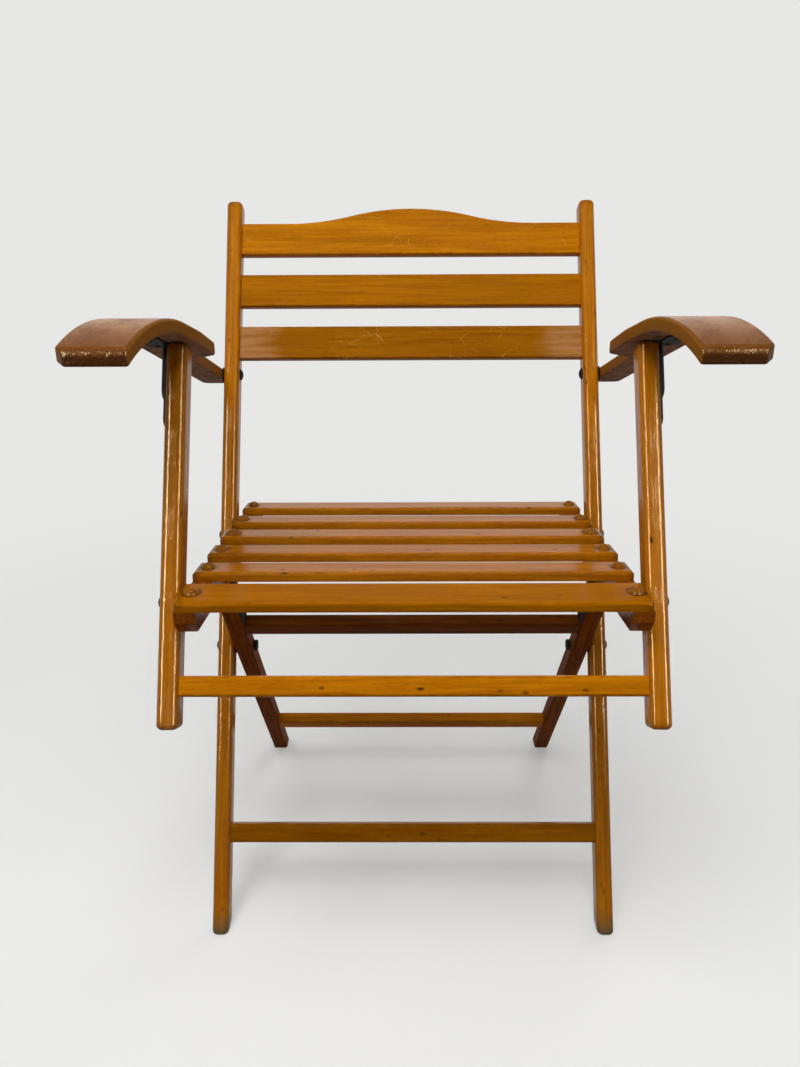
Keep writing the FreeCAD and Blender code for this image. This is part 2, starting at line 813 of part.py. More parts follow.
def bracket():
    """A steel angle: a leaf screwed under the arm rest and a flange that hangs down beside the arm post."""
    inner = flange_face()
    leaf = Part.makeBox(bracket_leaf_width, bracket_leaf_length, bracket_thickness, V(0, 0, -bracket_thickness))
    leaf = under_arm(rounded_edges(leaf, bracket_corner, lambda e: e.BoundBox.XMin > bracket_leaf_width - 1
                                   and e.BoundBox.ZLength > bracket_thickness / 2))
    strip = Part.makeBox(bracket_thickness, bracket_width, arm_post_above_bolt, V(inner, -bracket_width / 2, 0))
    strip = lean_back(strip, arm_front_bolt, back_lean)
    far = arm_post_above_bolt
    above = Part.makeBox(far, 2 * far, far, V(-far / 2, -far, -bracket_thickness / 2))
    strip = strip.cut(under_arm(above))
    strip = strip.fuse(across(arm_front_bolt, bracket_width / 2, inner, inner + bracket_thickness))
    angle = leaf.fuse(strip).removeSplitter()
    angle = angle.cut(across(arm_front_bolt, bolt_radius + running_clearance, 0, 2 * inner))
    for run in bracket_screws_run():
        angle = angle.cut(bracket_screw(run))
    return angle


def bracket_screws_run():
    """Where the two screws of a bracket lie along its leaf."""
    return bracket_screw_inset, bracket_leaf_length - bracket_screw_inset


def bracket_screw(run):
    """A round-headed screw that goes up through the leaf of the bracket into the arm rest."""
    foot = V(bracket_thickness + (bracket_leaf_width - bracket_thickness) / 2, run, -bracket_thickness)
    shank = Part.makeCylinder(screw_radius, screw_length, foot)
    head = dome(screw_head_radius, screw_head_height, foot, V(0, 0, -1))
    return under_arm(shank.fuse(head).removeSplitter())


low_slat, middle_slat, crest_foot = back_slat_places()
pieces = {}
pieces["back_post_right"] = back_post()
pieces["crest_slat"] = crest_slat()
pieces["middle_back_slat"] = straight_back_slat(middle_slat)
pieces["lower_back_slat"] = straight_back_slat(low_slat)
pieces["front_stretcher"] = front_stretcher()
pieces["rear_leg_right"] = rear_leg()
pieces["upper_rear_stretcher"] = rear_stretcher(upper_rear_stretcher_up)
pieces["lower_rear_stretcher"] = rear_stretcher(lower_rear_stretcher_up)
pieces["leg_forks"] = pair(fork())
pieces["leg_fork_screws"] = Part.makeCompound([pair(fork_screw(up)) for up in fork_screws_up()])
pieces["seat_rail_right"] = seat_rail()
for number in range(slat_count):
    pieces["seat_slat_%d" % (number + 1)] = seat_slat(number)
pieces["seat_slat_studs"] = Part.makeCompound([pair(slat_stud(n)) for n in range(slat_count)])
pieces["seat_support_bolts"] = pair(support_bolt())
pieces["seat_support_nuts"] = pair(support_nut())
pieces["arm_post_right"] = arm_post()
pieces["arm_post_stretcher"] = arm_stretcher()
pieces["arm_post_plates"] = pair(plate())
pieces["arm_post_plate_screws"] = Part.makeCompound([pair(plate_screw(up)) for up in plate_screws_up()])
for name, place, outer_face in (("leg", leg_bolt, post_inner + post_width),
                                ("seat", seat_bolt, post_inner + post_width),
                                ("arm_post", arm_post_bolt, plate_face())):
    pieces[name + "_pivot_bolts"] = pair(pivot_bolt(place, outer_face))
    pieces[name + "_pivot_nuts"] = pair(pivot_nut(place))
    pieces[name + "_pivot_washers"] = pair(pivot_washer(place))
pieces["arm_rest_right"] = arm_rest()
pieces["arm_bracket_right"] = bracket()
pieces["arm_bracket_screws_right"] = Part.makeCompound([bracket_screw(run) for run in bracket_screws_run()])
pieces["arm_rear_bolt_right"] = arm_rear_bolt()
pieces["arm_rear_washer_right"] = arm_rear_washer()
pieces["arm_front_screws"] = pair(arm_front_screw())
for name in [name for name in pieces if name.endswith("_right")]:
    pieces[name.replace("_right", "_left")] = mirrored(pieces[name])

whole = Part.makeCompound(list(pieces.values())).optimalBoundingBox(False, False)
os.makedirs("parts", exist_ok=True)
for name, shape in pieces.items():
    placed = shape.copy()
    placed.translate(V(0, -(whole.YMin + whole.YMax) / 2, -whole.ZMin))
    placed.exportStep("parts/" + name + ".step")
    print(name, len(placed.Solids), round(placed.Volume), placed.isValid())
print("size", whole.XLength, whole.YLength, whole.ZLength, "middle", (whole.YMin + whole.YMax) / 2, whole.ZMin)
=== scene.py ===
"""The looks of the folding armchair: old varnish over honey-coloured wood, dark steel, a pale room.

Metres throughout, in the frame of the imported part: X across the chair, Y from front to back, Z up.
"""

import json
import math

import bpy
from mathutils import Matrix, Vector


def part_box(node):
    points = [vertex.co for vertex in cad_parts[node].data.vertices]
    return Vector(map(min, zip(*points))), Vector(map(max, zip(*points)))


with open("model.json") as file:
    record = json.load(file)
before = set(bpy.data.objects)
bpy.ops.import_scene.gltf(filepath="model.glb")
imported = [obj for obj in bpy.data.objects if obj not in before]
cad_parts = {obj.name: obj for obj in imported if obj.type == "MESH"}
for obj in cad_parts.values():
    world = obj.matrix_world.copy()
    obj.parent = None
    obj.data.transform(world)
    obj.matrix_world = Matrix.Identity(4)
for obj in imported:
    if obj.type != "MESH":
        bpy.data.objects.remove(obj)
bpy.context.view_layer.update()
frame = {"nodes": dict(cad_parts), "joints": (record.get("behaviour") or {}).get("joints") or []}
nodes = frame["nodes"]

# Slopes of the laths, as in the CAD part, in degrees
BACK_LEAN = 27.6
LEG_LEAN = 36.2
SEAT_SLOPE = 6.3

# Axes: across the chair, from front to back, and up. For the fibres of a lath, it is turned upright first
ACROSS, BACKWARD, UPWARD = 0, 1, 2

# Colours of the varnished wood, linear
HONEY = (0.58, 0.200, 0.002)
AMBER = (0.40, 0.120, 0.001)
UMBER = (0.085, 0.022, 0.001)
RUSSET = (0.30, 0.072, 0.002)
RUST = (0.13, 0.030, 0.002)
ARM_BROWN = (0.29, 0.092, 0.002)
ARM_DARK = (0.15, 0.040, 0.002)
LIP_AMBER = (0.15, 0.043, 0.001)
LIP_DARK = (0.055, 0.014, 0.002)
SIDE_AMBER = (0.27, 0.095, 0.002)
# The underside of an arm rest is painted pale grey-pink: a painted reflection of the pale floor below it
UNDER_ARM_PAINTED_REFLECTION = (0.27, 0.150, 0.095)

# Colours of its wear and dirt, and of the metal
ROSE = (0.42, 0.19, 0.080)
# Pale pink of the rubbed tops of the arm rests, with a painted sheen of glancing light mixed in
ARM_WEAR_AND_SHEEN = (0.48, 0.270, 0.140)
PALE_SCRATCH = (0.66, 0.34, 0.08)
FOOT_GREY = (0.085, 0.075, 0.042)
GRIME = (0.022, 0.010, 0.004)
STEEL = (0.008, 0.007, 0.006)
COPPER = (0.27, 0.094, 0.003)

# Tints of the reflections
VARNISH_GLINT = (1.0, 0.79, 0.45)
AMBER_GLINT = (1.0, 0.60, 0.08)

# Wear and dirt on the wood, its darker edges, and grime with painted shade at the joints: the distances
# between which they fade away
EDGE_DARKENING = (-0.0005, 0.0030)
JOINT_GRIME_AND_SHADE = (0.0, 0.010)
END_RUB = (0.035, 0.075)
FOOT_RUB = (0.014, 0.045)
STUD_DIRT = (0.0070, 0.0120)

# Studs: the radius of their heads, and how deep the dirt round them lies under the highest point of a slat
STUD_HEAD = 0.007
STUD_DIRT_DEPTH = 0.0015

# Front end of an arm rest: what counts as its end face, and the rounding over it
ARM_END_FACE = 0.0005
ARM_END_ROUNDING = 0.0075

# Its dark lip and its nose: the distances from the front between which they fade away, and the shares of the
# end's height between which the lip does
LIP_DEPTH = (0.010, 0.016)
NOSE_DEPTH = (0.010, 0.085)
LIP_RISE = (0.30, 0.62)

# Where a face looks up, down, forward or sideways: the part of its normal along that axis, from the start to
# the end of the mask's change
LOOKS_UP = (0.885, 0.985)
LOOKS_DOWN = (-0.85, -0.55)
LOOKS_FORWARD = (-0.93, -0.68)
LOOKS_SIDEWAYS = (0.6, 0.9)

# How far each step of a lath's seed moves its patterns, and how deep the relief of wood and metal is
SEED_STEP = (0.37, 0.11, 0.23)
WOOD_RELIEF = 0.0003
METAL_RELIEF = 0.00012

# The room. What the eye or a gloss sees of it is pale, while little light bounces off it onto the chair
PALE = (0.80, 0.80, 0.785)
FLOOR_PALE = (0.70, 0.70, 0.69)
FLOOR_SHADE = (0.64, 0.635, 0.63)
BOUNCE = (0.26, 0.22, 0.17)
FLOOR_WIDTH = 40.0
FLOOR_FADE = (0.50, 1.5)
FLOOR_GLOW = 0.34
SURROUND_LIGHT = 0.24
LAMPS_FACE = (0.0, 0.0, 0.45)

# Camera: its place from the leg bolt in millimetres, its turns in degrees, the nearest distance that it
# draws, its focal length in pixels of the picture, and the size of the picture
CAMERA_FROM_LEG_BOLT = (-6.2, -901.4, 495.6)
CAMERA_PITCH = 21.46
CAMERA_YAW = 0.44
CAMERA_ROLL = -0.30
CAMERA_NEAR = 0.05
FOCAL_PX = 863.0
IMAGE_PX = (800, 1067)


class Graph:
    """A small helper that adds shader nodes to a material or world and links them."""

    def __init__(self, owner):
        owner.use_nodes = True
        self.owner = owner
        self.tree = owner.node_tree
        self.tree.nodes.clear()

    def add(self, kind, **settings):
        node = self.tree.nodes.new(kind)
        for key, value in settings.items():
            setattr(node, key, value)
        return node

    def put(self, value, socket):
        if isinstance(value, bpy.types.NodeSocket):
            self.tree.links.new(value, socket)
        elif value is not None:
            socket.default_value = value

    def put_colour(self, colour, socket):
        self.put(colour if isinstance(colour, bpy.types.NodeSocket) else (*colour, 1.0), socket)

    def math(self, operation, a, b=None, c=None, clamp=False):
        node = self.add("ShaderNodeMath", operation=operation, use_clamp=clamp)
        for value, socket in zip((a, b, c), node.inputs):
            self.put(value, socket)
        return node.outputs[0]

    def times(self, a, b):
        return self.math("MULTIPLY", a, b)

    def plus(self, value, pattern, share, clamp=False):
        """A value with a share of a pattern added to it."""
        return self.math("MULTIPLY_ADD", pattern, share, value, clamp)

    def ragged(self, value, pattern, amount):
        """A value that a pattern moves up and down."""
        return self.plus(value, self.math("SUBTRACT", pattern, 0.5), amount)

    def ramp(self, value, low, high, to_low=0.0, to_high=1.0):
        """A smooth change from one result to the other, while a value rises from low to high."""
        node = self.add("ShaderNodeMapRange", clamp=True, interpolation_type="SMOOTHSTEP")
        for value_in, socket in zip((value, low, high, to_low, to_high), node.inputs):
            self.put(value_in, socket)
        return node.outputs[0]

    def fade(self, value, near, far, full=1.0):
        """Full where a value is under near, fading to nothing at far."""
        return self.ramp(value, near, far, full, 0.0)

    def mix(self, amount, a, b):
        node = self.add("ShaderNodeMix", data_type="RGBA", clamp_factor=True)
        self.put(amount, node.inputs[0])
        self.put_colour(a, node.inputs[6])
        self.put_colour(b, node.inputs[7])
        return node.outputs[2]

    def mapped(self, vector, scale=(1, 1, 1), offset=(0, 0, 0), lean=0.0):
        node = self.add("ShaderNodeMapping")
        self.put(vector, node.inputs["Vector"])
        node.inputs["Scale"].default_value = scale
        node.inputs["Location"].default_value = offset
        node.inputs["Rotation"].default_value = (math.radians(lean), 0, 0)
        return node.outputs[0]

    def noise(self, vector, scale, detail=4.0, roughness=0.55, distortion=0.0):
        node = self.add("ShaderNodeTexNoise")
        self.put(vector, node.inputs["Vector"])
        node.inputs["Scale"].default_value = scale
        node.inputs["Detail"].default_value = detail
        node.inputs["Roughness"].default_value = roughness
        node.inputs["Distortion"].default_value = distortion
        return node.outputs["Fac"]

    def cells(self, vector, scale, feature="F1"):
        node = self.add("ShaderNodeTexVoronoi", feature=feature)
        self.put(vector, node.inputs["Vector"])
        node.inputs["Scale"].default_value = scale
        return node.outputs["Distance"]

    def split(self, vector):
        node = self.add("ShaderNodeSeparateXYZ")
        self.put(vector, node.inputs[0])
        return node.outputs

    def join(self, x, y, z):
        node = self.add("ShaderNodeCombineXYZ")
        for value, socket in zip((x, y, z), node.inputs):
            self.put(value, socket)
        return node.outputs[0]

    def shader(self, colour, roughness, height=None, relief=0.0, specular=0.5, tint=(1.0, 1.0, 1.0)):
        surface = self.add("ShaderNodeBsdfPrincipled")
        self.put_colour(colour, surface.inputs["Base Color"])
        self.put(roughness, surface.inputs["Roughness"])
        surface.inputs["Specular IOR Level"].default_value = specular
        surface.inputs["Specular Tint"].default_value = (*tint, 1.0)
        if height is not None:
            bump = self.add("ShaderNodeBump")
            bump.inputs["Strength"].default_value = 1.0
            bump.inputs["Distance"].default_value = relief
            self.put(height, bump.inputs["Height"])
            self.put(bump.outputs[0], surface.inputs["Normal"])
        output = self.add("ShaderNodeOutputMaterial")
        self.put(surface.outputs[0], output.inputs["Surface"])
        return surface, output


class Lath(Graph):
    """The shader of one lath, with the places and patterns that its colour, gloss and relief share."""

    def __init__(self, name, lean, grain, seed):
        super().__init__(bpy.data.materials.new("wood_" + name))
        self.grain = grain
        coordinates = self.add("ShaderNodeTexCoord")
        self.place = coordinates.outputs["Object"]
        self.normal = coordinates.outputs["Normal"]
        middle, half = lath_frame(name, lean)
        local = self.mapped(self.place, offset=tuple(-middle), lean=lean)
        self.own = self.mapped(local, offset=[seed * step for step in SEED_STEP])
        self.inward = [self.math("SUBTRACT", half[k], self.math("ABSOLUTE", axis))
                       for k, axis in enumerate(self.split(local))]
        self.streaks = self.noise(self.drawn_out(0.035), 300.0, detail=5.0, roughness=0.68, distortion=0.3)
        self.cloud = self.noise(self.drawn_out(0.3), 17.0, detail=4.0, roughness=0.6)
        self.mottle = self.noise(self.own, 95.0, detail=6.0, roughness=0.7)

    def drawn_out(self, along, offset=(0, 0, 0)):
        """The lath's own place, squeezed along the fibres so that a pattern is drawn out that way."""
        return self.mapped(self.own, tuple(along if k == self.grain else 1.0 for k in range(3)), offset)


def lath_frame(name, lean):
    """The middle and half sizes of a lath in axes turned about X so that its length runs along an axis."""
    turn = Matrix.Rotation(math.radians(lean), 3, "X")
    points = [turn @ v.co for v in nodes[name].data.vertices]
    low = Vector(min(p[k] for p in points) for k in range(3))
    high = Vector(max(p[k] for p in points) for k in range(3))
    return (low + high) / 2, (high - low) / 2


def finish(name, graph):
    """Give a node the material of a graph as its only one."""
    slots = nodes[name].data.materials
    slots.clear()
    slots.append(graph.owner)


def grain_colour(g, base, dark):
    """Streaks and bands of two tones, darker clouds, and short dark flecks."""
    bands = g.noise(g.drawn_out(0.05), 60.0, detail=3.0, roughness=0.55, distortion=0.7)
    flecks = g.noise(g.drawn_out(0.10), 1100.0, detail=3.0, roughness=0.6)
    light = g.plus(g.times(bands, 0.35), g.streaks, 0.85)
    colour = g.mix(g.ramp(light, 0.45, 0.76), dark, base)
    colour = g.mix(g.ramp(g.cloud, 0.42, 0.72, 0.0, 0.55), colour, dark)
    colour = g.mix(g.ramp(flecks, 0.52, 0.72, 0.0, 0.36), colour, UMBER)
    return g.mix(g.ramp(g.streaks, 0.62, 0.78, 0.0, 0.30), colour, base)


def edges(g):
    """One at the edges. Two faces are near there, so the second smallest distance inward is small."""
    nearest = g.math("MINIMUM", g.inward[0], g.inward[1])
    farther = g.math("MAXIMUM", g.inward[0], g.inward[1])
    second = g.math("MAXIMUM", nearest, g.math("MINIMUM", farther, g.inward[2]))
    return g.fade(g.ragged(second, g.mottle, 0.008), *EDGE_DARKENING)


def darkened_edges_and_joints(g, colour, at_edge):
    """Darker along the edges, and at the two ends, where the lath meets another, grime with a painted shade
    of the joint.
    """
    colour = g.mix(g.times(at_edge, 0.42), colour, UMBER)
    # Grime and painted shade where the lath meets another
    at_joint = g.fade(g.ragged(g.inward[g.grain], g.mottle, 0.02), *JOINT_GRIME_AND_SHADE)
    return g.mix(g.times(at_joint, 0.45), colour, UMBER)


def rubbed_patches(g, at_edge, wear, end_wear):
    """How far the varnish is rubbed off: in patches, more at the edges, and at the ends of some laths."""
    patches = g.noise(g.drawn_out(0.45, (5.0, 2.0, 9.0)), 24.0, detail=6.0, roughness=0.72)
    patches = g.plus(patches, at_edge, 0.05)
    rubbed = g.ramp(patches, 0.60, 0.68, 0.0, wear)
    if end_wear:
        reach = g.ragged(g.inward[g.grain], patches, 0.12)
        rubbed = g.math("MAXIMUM", rubbed, g.fade(reach, *END_RUB, end_wear))
    return g.times(rubbed, g.ramp(g.streaks, 0.40, 0.58, 0.35, 1.0))


def pit_marks(g):
    """One in small pits of the varnish, which lie here and there."""
    spots = g.cells(g.drawn_out(0.45, (1.3, 0.4, 2.2)), 95.0)
    here_and_there = g.ramp(g.noise(g.own, 21.0, detail=3.0), 0.50, 0.62)
    return g.times(g.fade(spots, 0.07, 0.20), here_and_there)


def scratch_lines(g):
    """One on thin bent scratches, which lie in patches."""
    bend = g.times(g.noise(g.own, 30.0, detail=2.0), 0.02)
    bent = g.add("ShaderNodeVectorMath", operation="ADD")
    g.put(g.own, bent.inputs[0])
    g.put(g.join(bend, 0.0, g.times(g.mottle, 0.012)), bent.inputs[1])
    lines = g.cells(bent.outputs[0], 46.0, feature="DISTANCE_TO_EDGE")
    patches = g.ramp(g.noise(g.own, 34.0, detail=2.0), 0.53, 0.60)
    return g.times(g.fade(lines, 0.006, 0.020), patches)


def stud_dirt(g, points):
    """Uneven dirt round the studs, the points of which are given."""
    nearest = None
    for point in points:
        gap = g.add("ShaderNodeVectorMath", operation="DISTANCE")
        g.put(g.place, gap.inputs[0])
        gap.inputs[1].default_value = point
        near = g.fade(gap.outputs["Value"], *STUD_DIRT)
        nearest = near if nearest is None else g.math("MAXIMUM", nearest, near)
    return g.times(nearest, g.ramp(g.mottle, 0.3, 0.65, 0.45, 0.95))


def worn_foot(g, foot):
    """How far the lowest end of a leg is worn and grey."""
    height = g.split(g.place)[UPWARD]
    return g.fade(g.plus(height, g.mottle, 0.03), *FOOT_RUB, foot)


def end_of_arm(name):
    """How far forward an arm rest reaches, and the lowest and highest place of its front end."""
    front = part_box(name)[0].y
    heights = [v.co.z for v in nodes[name].data.vertices if v.co.y < front + ARM_END_FACE]
    return front, min(heights), max(heights) + ARM_END_ROUNDING


class ArmFaces:
    """Masks on an arm rest: its top, underside, sides and front, the lip of its front, and its nose."""

    def __init__(self, g, name):
        normal = g.split(g.normal)
        place = g.split(g.place)
        front, low, high = end_of_arm(name)
        self.top = g.ramp(normal[UPWARD], *LOOKS_UP)
        self.under = g.fade(normal[UPWARD], *LOOKS_DOWN)
        self.sides = g.ramp(g.math("ABSOLUTE", normal[ACROSS]), *LOOKS_SIDEWAYS)
        self.front = g.fade(normal[BACKWARD], *LOOKS_FORWARD)
        at_front = g.fade(place[BACKWARD], *(front + depth for depth in LIP_DEPTH))
        rise = g.ragged(place[UPWARD], g.mottle, 0.010)
        low_part = g.fade(rise, *(low + share * (high - low) for share in LIP_RISE))
        self.lip = g.times(g.times(self.front, at_front), low_part)
        depth_in = g.ragged(place[BACKWARD], g.cloud, 0.05)
        self.nose = g.fade(depth_in, *(front + depth for depth in NOSE_DEPTH))


def worn_top_and_sheen(g, arm, rubbed, top_wear_and_sheen):
    """The top of an arm rest is rubbed in smudges that also carry a painted sheen, and its other faces less
    than those of other laths.
    """
    smudges = g.noise(g.drawn_out(0.6), 30.0, detail=5.0, roughness=0.65)
    on_top = g.times(arm.top, g.ramp(smudges, 0.36, 0.58, 0.35, 1.0))
    return g.math("MAXIMUM", g.times(on_top, top_wear_and_sheen), g.times(rubbed, 0.3))


def stained(g, colour):
    """Dark stains of long use."""
    stains = g.noise(g.drawn_out(0.5, (3.0, 1.0, 4.0)), 55.0, detail=6.0, roughness=0.7)
    return g.mix(g.ramp(stains, 0.47, 0.63, 0.0, 0.55), colour, UMBER)


def arm_colour(g, arm, colour):
    """The nose and lip of an arm rest are dark, its sides amber, and its underside a pale grey-pink painted
    reflection of the floor with dark blotches.
    """
    colour = g.mix(g.times(arm.nose, 0.80), colour, LIP_AMBER)
    colour = g.mix(g.times(arm.lip, 0.9), colour, LIP_DARK)
    colour = g.mix(g.times(arm.sides, 0.85), colour, SIDE_AMBER)
    # The underside's pale grey-pink is a painted reflection of the floor; its blotches are stains
    blotches = g.ramp(g.noise(g.own, 60.0, detail=5.0, roughness=0.7), 0.42, 0.68, 0.0, 0.85)
    return g.mix(arm.under, colour, g.mix(blotches, UNDER_ARM_PAINTED_REFLECTION, LIP_DARK))


def varnish_roughness(g, arm, rubbed, gloss, rub_dull):
    """Sound varnish is glossy and rubbed varnish duller. The sides and underside of an arm rest are dull."""
    rough = g.ramp(g.cloud, 0.3, 0.75, gloss, gloss + 0.10)
    if arm:
        rough = g.plus(rough, arm.sides, 0.40)
        rough = g.plus(rough, arm.under, 0.6)
    return g.plus(rough, rubbed, rub_dull, clamp=True)


def varnish_relief(g, arm, pit, cut, ripple):
    """The height of the varnish: pores, waves, pits, runs, scratches, and dents in an arm rest's front."""
    pores = g.noise(g.drawn_out(0.06), 420.0, detail=1.0)
    waves = g.noise(g.drawn_out(0.4), 110.0, detail=1.0)
    height = g.plus(g.times(waves, 0.25), pores, 0.12)
    height = g.plus(height, pit, -0.5)
    if ripple:
        runs = g.noise(g.drawn_out(0.6), 620.0, detail=2.0)
        broken = g.ramp(g.noise(g.own, 40.0, detail=2.0), 0.45, 0.64, 0.10, 1.0)
        height = g.plus(height, g.times(runs, broken), ripple)
    if arm:
        patches = g.ramp(g.noise(g.own, 70.0, detail=1.0), 0.42, 0.60)
        dents = g.times(g.noise(g.own, 300.0, detail=1.0), patches)
        height = g.plus(height, g.times(dents, arm.front), 1.3)
    if cut is not None:
        height = g.plus(height, cut, -0.3)
    return height


def wood(name, lean, grain, seed, base=HONEY, dark=AMBER, wear_and_sheen_colour=ROSE, tone=1.0, wear=0.3, end_wear=0.0,
         top_wear_and_sheen=0.0, pits=0.7, scratches=0.0, studs=(), foot=0.0, gloss=0.18, rub_dull=0.42, ripple=0.0,
         glint=0.07, shine=VARNISH_GLINT):
    """Old varnished wood for one lath. lean turns the lath upright and grain is the axis of its fibres.

    tone makes both colours of the grain lighter or darker. wear, end_wear, top_wear_and_sheen, pits,
    scratches and foot are shares, and only an arm rest has a top_wear_and_sheen: its rubbed top, which
    wear_and_sheen_colour paints together with a painted sheen. studs are the points with dirt round them.
    gloss is the roughness of sound varnish and rub_dull what rubbing adds to it. ripple is the height of the
    runs in the varnish. glint is how strongly it reflects, and shine the tint of its reflections.
    """
    g = Lath(name, lean, grain, seed)
    arm = ArmFaces(g, name) if top_wear_and_sheen else None
    base, dark = (tuple(part * tone for part in colour) for colour in (base, dark))
    at_edge = edges(g)
    colour = darkened_edges_and_joints(g, grain_colour(g, base, dark), at_edge)
    rubbed = rubbed_patches(g, at_edge, wear, end_wear)
    # On the top of an arm rest, the pale share is rubbed wear together with a painted sheen
    if arm:
        rubbed = worn_top_and_sheen(g, arm, rubbed, top_wear_and_sheen)
    colour = g.mix(rubbed, colour, wear_and_sheen_colour)
    if arm:
        colour = stained(g, colour)
    pit = pit_marks(g)
    colour = g.mix(g.times(pit, pits), colour, GRIME)
    cut = scratch_lines(g) if scratches else None
    if scratches:
        colour = g.mix(g.times(cut, scratches), colour, PALE_SCRATCH)
    if studs:
        colour = g.mix(stud_dirt(g, studs), colour, GRIME)
    if foot:
        at_foot = worn_foot(g, foot)
        colour = g.mix(at_foot, colour, FOOT_GREY)
        rubbed = g.math("MAXIMUM", rubbed, at_foot)
    if arm:
        colour = arm_colour(g, arm, colour)
        rubbed = g.times(rubbed, g.math("SUBTRACT", 1.0, arm.lip))
    rough = varnish_roughness(g, arm, rubbed, gloss, rub_dull)
    height = varnish_relief(g, arm, pit, cut, ripple)
    g.shader(colour, rough, height, WOOD_RELIEF, specular=glint, tint=shine)
    finish(name, g)


def steel(name):
    """Old blackened steel with a little brown bloom."""
    g = Graph(bpy.data.materials.new("steel_" + name))
    place = g.add("ShaderNodeTexCoord").outputs["Object"]
    cloud = g.noise(place, 160.0, detail=6.0, roughness=0.65)
    fleck = g.noise(place, 900.0, detail=3.0, roughness=0.6)
    colour = g.mix(g.ramp(cloud, 0.45, 0.72, 0.0, 0.20), STEEL, RUST)
    colour = g.mix(g.ramp(fleck, 0.55, 0.75, 0.0, 0.5), colour, GRIME)
    rough = g.ramp(cloud, 0.3, 0.7, 0.58, 0.76)
    g.shader(colour, rough, g.math("ADD", cloud, fleck), METAL_RELIEF, specular=0.06)
    finish(name, g)


def stud(name):
    """Domed heads: worn copper-brown metal under old varnish, with dirt in the hollows."""
    g = Graph(bpy.data.materials.new("stud_" + name))
    place = g.add("ShaderNodeTexCoord").outputs["Object"]
    cloud = g.noise(place, 210.0, detail=5.0, roughness=0.6)
    fleck = g.noise(place, 760.0, detail=3.0, roughness=0.6)
    colour = g.mix(g.ramp(cloud, 0.45, 0.75), COPPER, RUST)
    colour = g.mix(g.ramp(fleck, 0.56, 0.74, 0.0, 0.5), colour, GRIME)
    rough = g.ramp(cloud, 0.3, 0.7, 0.16, 0.30)
    g.shader(colour, rough, g.math("ADD", cloud, fleck), METAL_RELIEF, specular=0.07, tint=VARNISH_GLINT)
    finish(name, g)


def studs_of(slat):
    """The points where the two studs of a seat slat stand on it."""
    stud_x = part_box("seat_slat_studs")[1].x - STUD_HEAD
    low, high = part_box(slat)
    return [(side * stud_x, (low.y + high.y) / 2, high.z - STUD_DIRT_DEPTH) for side in (-1, 1)]


def side_laths(side, seed, post_tone, arm_tone, arm_wear_and_sheen):
    """The back post, arm post, rear leg, seat rail and arm rest of one side."""
    wood("back_post_" + side, BACK_LEAN, UPWARD, seed=seed, wear=0.14, foot=0.85, gloss=0.12, rub_dull=0.2,
         ripple=1.0, glint=0.11)
    wood("arm_post_" + side, BACK_LEAN, UPWARD, seed=seed + 1, tone=post_tone, wear=0.28, pits=0.9,
         gloss=0.12, rub_dull=0.2, ripple=1.2, glint=0.13)
    wood("rear_leg_" + side, -LEG_LEAN, UPWARD, seed=seed + 2, base=RUSSET, dark=RUST, tone=0.95, wear=0.1,
         foot=0.25, gloss=0.45, glint=0.01)
    wood("seat_rail_" + side, SEAT_SLOPE, BACKWARD, seed=seed + 3, base=RUSSET, dark=RUST, tone=1.2,
         wear=0.2, pits=0.9, glint=0.05)
    wood("arm_rest_" + side, 0.0, BACKWARD, seed=seed + 4, base=ARM_BROWN, dark=ARM_DARK,
         wear_and_sheen_colour=ARM_WEAR_AND_SHEEN, tone=arm_tone, wear=0.5, top_wear_and_sheen=arm_wear_and_sheen, gloss=0.20, rub_dull=0.12,
         ripple=1.1, glint=0.10)


def back_slats():
    """The three slats of the back, from the top down."""
    wood("crest_slat", BACK_LEAN, ACROSS, seed=11.0, tone=1.03, wear=0.05, pits=0.3, scratches=0.2,
         shine=AMBER_GLINT)
    wood("middle_back_slat", BACK_LEAN, ACROSS, seed=12.0, tone=0.83, wear=0.05, pits=0.3,
         shine=AMBER_GLINT)
    wood("lower_back_slat", BACK_LEAN, ACROSS, seed=13.0, tone=0.67, wear=0.12, end_wear=0.9, pits=0.35,
         scratches=0.45, shine=AMBER_GLINT)


def stretchers():
    """The four stretchers, of which the two between the rear legs are duller."""
    wood("front_stretcher", BACK_LEAN, ACROSS, seed=15.0, tone=0.70, wear=0.1, shine=AMBER_GLINT)
    wood("arm_post_stretcher", BACK_LEAN, ACROSS, seed=16.0, tone=1.14, wear=0.1, pits=0.85,
         shine=AMBER_GLINT)
    wood("upper_rear_stretcher", -LEG_LEAN, ACROSS, seed=17.0, base=RUSSET, dark=RUST, tone=0.65, wear=0.1,
         gloss=0.4, glint=0.02)
    # The lower rear stretcher is painted a light honey, brighter than the shade it lies in: painted light
    wood("lower_rear_stretcher", -LEG_LEAN, ACROSS, seed=18.0, tone=1.05, wear=0.1, gloss=0.4, glint=0.02)


def seat_slats():
    """Slat 1, at the front, is a little darker than the others and has a weak amber glint."""
    for number in range(1, 7):
        name = "seat_slat_%d" % number
        front = number == 1
        wood(name, SEAT_SLOPE, ACROSS, seed=20.0 + number, tone=0.80 if front else 0.85, wear=0.1, pits=0.9,
             studs=studs_of(name), gloss=0.11, glint=0.04 if front else 0.09,
             shine=AMBER_GLINT if front else VARNISH_GLINT)


def metal_parts():
    """Every node that has no wood on it yet: the studs of the seat, and the steel."""
    for name, piece in nodes.items():
        if name == "seat_slat_studs":
            stud(name)
        elif not any(slot and slot.name.startswith("wood_") for slot in piece.data.materials):
            steel(name)


def seen_directly(g):
    """One for what the eye, a gloss or a clear body sees, nothing for the light that a surface gathers."""
    path = g.add("ShaderNodeLightPath")
    eye_or_gloss = g.math("MAXIMUM", path.outputs["Is Camera Ray"], path.outputs["Is Glossy Ray"])
    return g.math("MAXIMUM", eye_or_gloss, path.outputs["Is Transmission Ray"])


